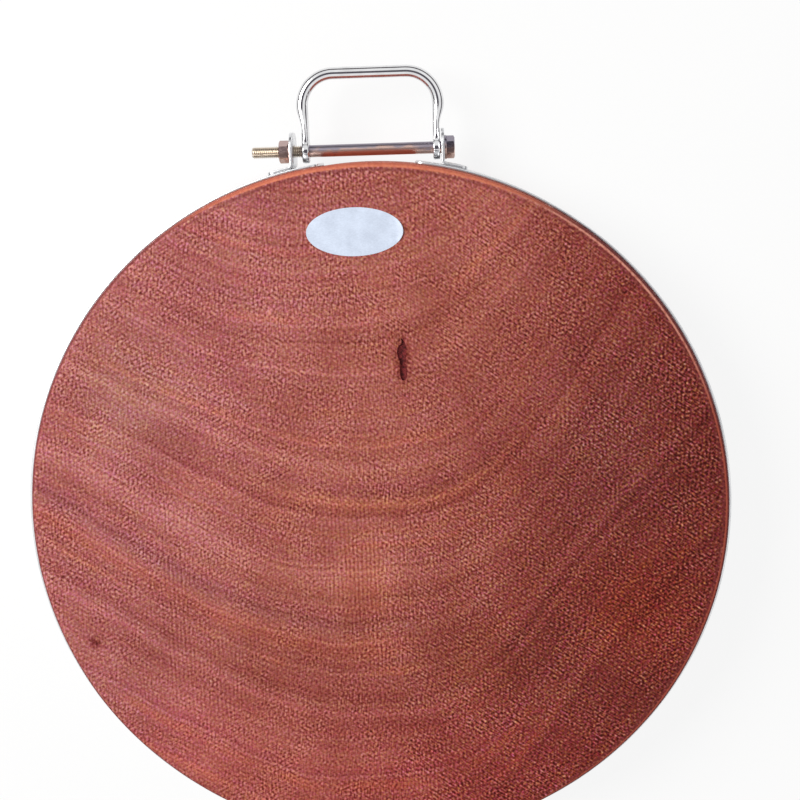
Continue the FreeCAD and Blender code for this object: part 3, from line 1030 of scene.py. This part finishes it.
def bolt_ring(x, radius):
    """Plain ring round the bolt's axis."""
    return [bolt_point(x, radius, turn) for turn in BOLT_TURNS]


def hex_reach(turn, flats):
    """Distance from a hexagon's middle to its side, with a corner at nought and slightly dulled corners."""
    from_flat = turn % (math.pi / 3) - math.pi / 6
    return min(flats / 2 / math.cos(from_flat), flats * HEX_CORNER)


def hex_ring(x, flats, share=1.0, chamfer=0):
    """Ring round a hexagon; its corners are turned off towards the side that chamfer gives as -1 or 1."""
    ring = []
    for turn in BOLT_TURNS:
        radius = hex_reach(turn, flats)
        setback = (radius - flats * HEX_CHAMFER) * CHAMFER_SLOPE
        ring.append(bolt_point(x - chamfer * setback, radius * share, turn))
    return ring


def thread_rings(look):
    """Rings of the threaded end: a right-hand helix from the tip's chamfer, which runs out on the shank."""
    start = bolt_low.x
    end = start + look.thread_length
    steps_per_turn = 10
    crest_share = 0.15
    flank_share = 0.7
    rings = []
    for step in range(int(look.thread_length / look.thread_pitch * steps_per_turn) + 1):
        along = step * look.thread_pitch / steps_per_turn
        depth = look.thread_depth * (1 - smooth_step(start + along, end - 1.5 * look.thread_pitch, end))
        ring = []
        for turn in BOLT_TURNS:
            phase = (along / look.thread_pitch - turn / (2 * math.pi)) % 1.0
            fall = min(max((abs(phase - 0.5) * 2 - crest_share) / flank_share, 0.0), 1.0)
            radius = min(look.shank - depth * fall, look.shank - look.tip_chamfer + along)
            ring.append(bolt_point(start + along, radius, turn))
        rings.append(ring)
    return rings


class CHOPPING_BLOCK_OT_bolt(bpy.types.Operator):
    """Hexagon bolt with a cut thread"""

    bl_idname = "chopping_block.bolt"
    bl_label = "Clamp bolt"

    def execute(self, context):
        look = context.scene.chopping_block.steel
        head_start = head_washer_high.x
        head_end = bolt_high.x
        tip_dish = 0.15 * MM
        head_dish = 0.12 * MM
        fillet_rise = 0.3 * MM
        fillet_length = 0.4 * MM
        under_edge = 0.15 * MM
        under_share = 0.97
        rings = [bolt_ring(bolt_low.x + tip_dish, look.shank * 0.3)]
        rings += thread_rings(look)
        rings += [bolt_ring(x, look.shank) for x in (0.0, head_start - fillet_length)]
        rings += [
            bolt_ring(head_start, look.shank + fillet_rise),
            hex_ring(head_start, look.hex_flats, under_share),
            hex_ring(head_start + under_edge, look.hex_flats),
            hex_ring(head_end, look.hex_flats, chamfer=1),
            bolt_ring(head_end, look.hex_flats * HEX_FACE),
            bolt_ring(head_end - head_dish, look.hex_flats * HEX_DISH),
        ]
        zinc = shared_material("yellow_zinc_plate", zinc_material, look)
        bolt = make_object("hex_clamp_bolt", skin(rings), zinc)
        install(bolt, "block", "clamp_bolt", smooth_degrees=30)
        return {"FINISHED"}


class CHOPPING_BLOCK_OT_nut(bpy.types.Operator):
    """Hexagon nut on the threaded end"""

    bl_idname = "chopping_block.nut"
    bl_label = "Clamp nut"

    def execute(self, context):
        look = context.scene.chopping_block.steel
        thread_play = 0.05 * MM
        bore = look.shank + thread_play
        mouth = 0.35 * MM
        face = look.hex_flats * HEX_FACE
        rings = [
            bolt_ring(nut_low.x + mouth, bore),
            bolt_ring(nut_high.x - mouth, bore),
            bolt_ring(nut_high.x, bore + mouth),
            bolt_ring(nut_high.x, face),
            hex_ring(nut_high.x, look.hex_flats, chamfer=1),
            hex_ring(nut_low.x, look.hex_flats, chamfer=-1),
            bolt_ring(nut_low.x, face),
            bolt_ring(nut_low.x, bore + mouth),
        ]
        zinc = shared_material("yellow_zinc_plate", zinc_material, look)
        nut = make_object("hex_clamp_nut", skin(rings, closed=True), zinc)
        install(nut, "nut", "clamp_nut", smooth_degrees=30)
        return {"FINISHED"}


class CHOPPING_BLOCK_OT_washers(bpy.types.Operator):
    """Flat washers under the bolt's head and under the nut"""

    bl_idname = "chopping_block.washers"
    bl_label = "Washers"

    def execute(self, context):
        look = context.scene.chopping_block.steel
        zinc = shared_material("yellow_zinc_plate", zinc_material, look)
        for name, node, body in (
            ("washer_at_head", "head_washer", "block"), ("washer_at_nut", "nut_washer", "loose_washer"),
        ):
            low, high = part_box(node)
            middle_x = (low.x + high.x) / 2
            half_x = (high.x - low.x) / 2
            outer = (high.z - low.z) / 2
            middle_radius = (outer + look.washer_hole) / 2
            half_radius = (outer - look.washer_hole) / 2
            centre = Vector((middle_x, 0, middle_radius))
            profile = section(centre, Vector((1, 0, 0)), half_x, half_radius, look.washer_edge, steps=3)
            rings = [bolt_ring(point.x, point.z) for point in profile]
            washer = make_object(name, skin(rings, closed=True), zinc)
            install(washer, body, node, smooth_degrees=30)
        return {"FINISHED"}


def leg_top(look):
    """Height above the bolt's axis at which a leg goes over into its bend."""
    return handle_high.y - bolt_y - look.rod - look.handle_bend


def leg_shape(look, above):
    """Half thickness, half width, corner and inward shift of a leg at a height above the bolt's axis."""
    half_flat = look.eye_thickness / 2
    rounding = smooth_step(above, look.flat_length, leg_top(look))
    eye_width = math.sqrt(max(look.eye ** 2 - above ** 2, 0.0))
    neck = max(eye_width, look.flat_width / 2) if above > 0 else max(eye_width, 0.3 * MM)
    bottom = set_back(above + look.eye, look.eye_edge)
    edge = between(smooth_step(above, 2 * MM, look.eye + 2 * MM), look.eye_edge, half_flat)
    return (
        between(rounding, half_flat, look.rod) - bottom,
        between(rounding, neck, look.rod),
        between(rounding, edge, look.rod),
        (1 - rounding) * (look.rod - half_flat),
    )


def handle_half(look, middle_x, leg_x):
    """Centre, side and shape of the handle's rings, from the bottom of its left eye over its left bend."""
    bend_start = leg_top(look)
    leg_steps = 24
    heights = [-look.eye * math.cos(math.radians(turn)) for turn in range(3, 132, 6)]
    rest = bend_start - heights[-1]
    heights += [heights[-1] + rest * (step + 1) / leg_steps for step in range(leg_steps)]
    rod = (look.rod, look.rod, look.rod)
    stations = []
    for above in heights:
        half_side, half_up, corner, shift = leg_shape(look, above)
        centre = Vector((middle_x - leg_x + shift, bolt_y + above, bolt_z))
        stations.append((centre, Vector((-1, 0, 0)), (half_side, half_up, corner)))
    bend_centre = Vector((middle_x - leg_x + look.handle_bend, bolt_y + bend_start, bolt_z))
    for degrees in range(5, 91, 5):
        turn = math.radians(degrees)
        outward = Vector((-math.cos(turn), math.sin(turn), 0))
        stations.append((bend_centre + outward * look.handle_bend, outward, rod))
    return stations


class CHOPPING_BLOCK_OT_handle(bpy.types.Operator):
    """Round rod bent to a U, pressed flat into an eye at each end"""

    bl_idname = "chopping_block.handle"
    bl_label = "Carry handle"

    def execute(self, context):
        look = context.scene.chopping_block.steel
        middle_x = (handle_low.x + handle_high.x) / 2
        leg_x = (handle_high.x - handle_low.x) / 2 - look.rod
        half = handle_half(look, middle_x, leg_x)
        stations = list(half)
        for centre, side, shape in reversed(half):
            mirrored = Vector((2 * middle_x - centre.x, centre.y, centre.z))
            stations.append((mirrored, Vector((-side.x, side.y, side.z)), shape))
        rings = [section(centre, side, *shape, steps=7) for centre, side, shape in stations]
        handle = make_object("swing_handle", skin(rings), handle_material(look))
        inside = leg_x - look.rod
        bore = lipped_bore(inside, inside + look.eye_thickness, look.eye_bore, 0.35 * MM)
        for side in (-1, 1):
            cut(handle, round_cutter(Vector((middle_x, bolt_y, bolt_z)), Vector((side, 0, 0)), bore))
        install(handle, "handle", "carry_handle", smooth_degrees=42)
        return {"FINISHED"}


class CHOPPING_BLOCK_OT_label(bpy.types.Operator):
    """Blank oval label whose right end has begun to lift"""

    bl_idname = "chopping_block.label"
    bl_label = "Label"

    def execute(self, context):
        look = context.scene.chopping_block.label
        centre = (label_low + label_high) / 2
        half = (label_high - label_low) / 2
        shares = (0.04, 0.25, 0.45, 0.6, 0.7, 0.78, 0.85, 0.9, 0.94, 0.97, 0.99, 1.0)
        lift_start, lift_end = 0.84, 1.03
        rings = []
        for z, ring_shares in ((label_low.z, shares), (label_high.z, shares[::-1])):
            for share in ring_shares:
                ring = []
                for turn in turns(160):
                    across = share * math.cos(turn)
                    lift = look.lift * smooth_step(across, lift_start, lift_end)
                    upward = half.y * share * math.sin(turn)
                    ring.append((centre.x + half.x * across, centre.y + upward, z + lift))
                rings.append(ring)
        paper = label_material(look)
        install(make_object("blank_label", skin(rings), paper), "block", "oval_label")
        return {"FINISHED"}


def look_at(place, aim, roll=0.0):
    """Turned and placed so that -Z faces the aim, with +Y up in the picture."""
    back = (place - aim).normalized()
    right = Vector((0, 1, 0)).cross(back).normalized()
    turned = Matrix((right, back.cross(right), back)).transposed()
    return Matrix.Translation(place) @ (Matrix.Rotation(roll, 3, back) @ turned).to_4x4()


def shown_ray(shader):
    """One for what the camera sees directly, in a mirror or through glass."""
    rays = shader.add("ShaderNodeLightPath").outputs
    mirrored = shader.sum("MAXIMUM", rays["Is Glossy Ray"], rays["Is Transmission Ray"])
    return shader.sum("MAXIMUM", rays["Is Camera Ray"], mirrored)


def floor_material(look):
    """Pale floor that shows nearly white and keeps a soft shadow."""
    floor = Shader(bpy.data.materials.new("pale_floor"))
    grain = floor.noise(floor.place, 3 * MM, 2.0)
    tone = floor.ramp(grain, [(0.3, times(look.floor, 0.985)), (0.7, look.floor)])
    matt = floor.add("ShaderNodeBsdfDiffuse", {"Color": tone})
    white = floor.add("ShaderNodeEmission")
    share = floor.sum("MULTIPLY", shown_ray(floor), look.floor_glow)
    mixed = floor.add("ShaderNodeMixShader", {0: share, 1: matt.outputs[0], 2: white.outputs[0]})
    return floor.end(mixed)


def studio_world(look):
    """Even light all round; metal sees a white studio, dark towards its horizon and straight above."""
    studio = Shader(bpy.data.worlds.new("soft_studio"))
    height = studio.split(studio.direction)[2]
    light_path = studio.add("ShaderNodeLightPath")
    white = (1.0, 1.0, 1.0)
    dusk = (0.08, 0.07, 0.08)
    mirrored = studio.ramp(height, [
        (0.0, dusk), (0.36, dusk), (0.5, white), (0.935, white),
        (0.965, (0.12, 0.11, 0.13)), (1.0, (0.10, 0.09, 0.11)),
    ])
    seen = studio.mix(light_path.outputs["Is Camera Ray"], mirrored, white)
    fill = studio.add("ShaderNodeBackground", {"Color": (*white, 1.0), "Strength": look.fill})
    shown = studio.add("ShaderNodeBackground", {"Color": seen})
    shaders = {0: shown_ray(studio), 1: fill.outputs[0], 2: shown.outputs[0]}
    return studio.end(studio.add("ShaderNodeMixShader", shaders), "ShaderNodeOutputWorld")


class CHOPPING_BLOCK_OT_stage(bpy.types.Operator):
    """Floor, light and camera"""

    bl_idname = "chopping_block.stage"
    bl_label = "Stage"

    def execute(self, context):
        look = context.scene.chopping_block.stage
        scene = context.scene
        scene.view_settings.view_transform = "Standard"
        scene.world = studio_world(look)

        floor_radius = 5.0
        floor_top = -0.3 * MM
        rings = [
            [polar(floor_radius * share, turn, floor_top - depth) for turn in turns(96)]
            for share, depth in ((1.0, 5 * MM), (1.0, 0.0), (0.3, 0.0), (0.05, 0.0))
        ]
        floor = make_object("studio_floor", skin(rings), floor_material(look))

        key = bpy.data.objects.new("key_light", bpy.data.lights.new("key_light", "AREA"))
        key.data.energy = look.key_power
        key.data.shape = "DISK"
        key.data.size = look.key_size
        key.data.color = look.key_colour
        key.matrix_world = look_at(Vector(look.key_place), Vector((0, 0, block_top)))
        scene.collection.objects.link(key)

        camera = bpy.data.objects.new("photo_camera", bpy.data.cameras.new("photo_camera"))
        camera.data.sensor_width = 36.0
        camera.data.lens = look.camera_lens
        camera.data.clip_start = 0.01
        camera.matrix_world = look_at(Vector(look.camera_place), Vector(look.camera_aim), look.camera_roll)
        scene.collection.objects.link(camera)
        scene.camera = camera
        return {"FINISHED"}


build_operators = (
    CHOPPING_BLOCK_OT_wood,
    CHOPPING_BLOCK_OT_hoop,
    CHOPPING_BLOCK_OT_ears,
    CHOPPING_BLOCK_OT_bolt,
    CHOPPING_BLOCK_OT_nut,
    CHOPPING_BLOCK_OT_washers,
    CHOPPING_BLOCK_OT_handle,
    CHOPPING_BLOCK_OT_label,
    CHOPPING_BLOCK_OT_stage,
)


class CHOPPING_BLOCK_PT_build(bpy.types.Panel):
    """Lists the steps that build the chopping block"""

    bl_idname = "CHOPPING_BLOCK_PT_build"
    bl_label = "Chopping Block"
    bl_space_type = "VIEW_3D"
    bl_region_type = "UI"
    bl_category = "Chopping Block"

    def draw(self, context):
        for operator in build_operators:
            self.layout.operator(operator.bl_idname)


classes = (
    WoodLook,
    SteelLook,
    LabelLook,
    StageLook,
    BlockSettings,
    *build_operators,
    CHOPPING_BLOCK_PT_build,
)


def register():
    """Adds the classes and the scene's settings."""
    for item in classes:
        bpy.utils.register_class(item)
    bpy.types.Scene.chopping_block = PointerProperty(type=BlockSettings)


def unregister():
    """Takes them away again."""
    del bpy.types.Scene.chopping_block
    for item in reversed(classes):
        bpy.utils.unregister_class(item)


def main():
    """Builds every piece and the stage."""
    register()
    bpy.ops.chopping_block.wood()
    bpy.ops.chopping_block.hoop()
    bpy.ops.chopping_block.ears()
    bpy.ops.chopping_block.bolt()
    bpy.ops.chopping_block.nut()
    bpy.ops.chopping_block.washers()
    bpy.ops.chopping_block.handle()
    bpy.ops.chopping_block.label()
    bpy.ops.chopping_block.stage()


if __name__ == "__main__":
    main()
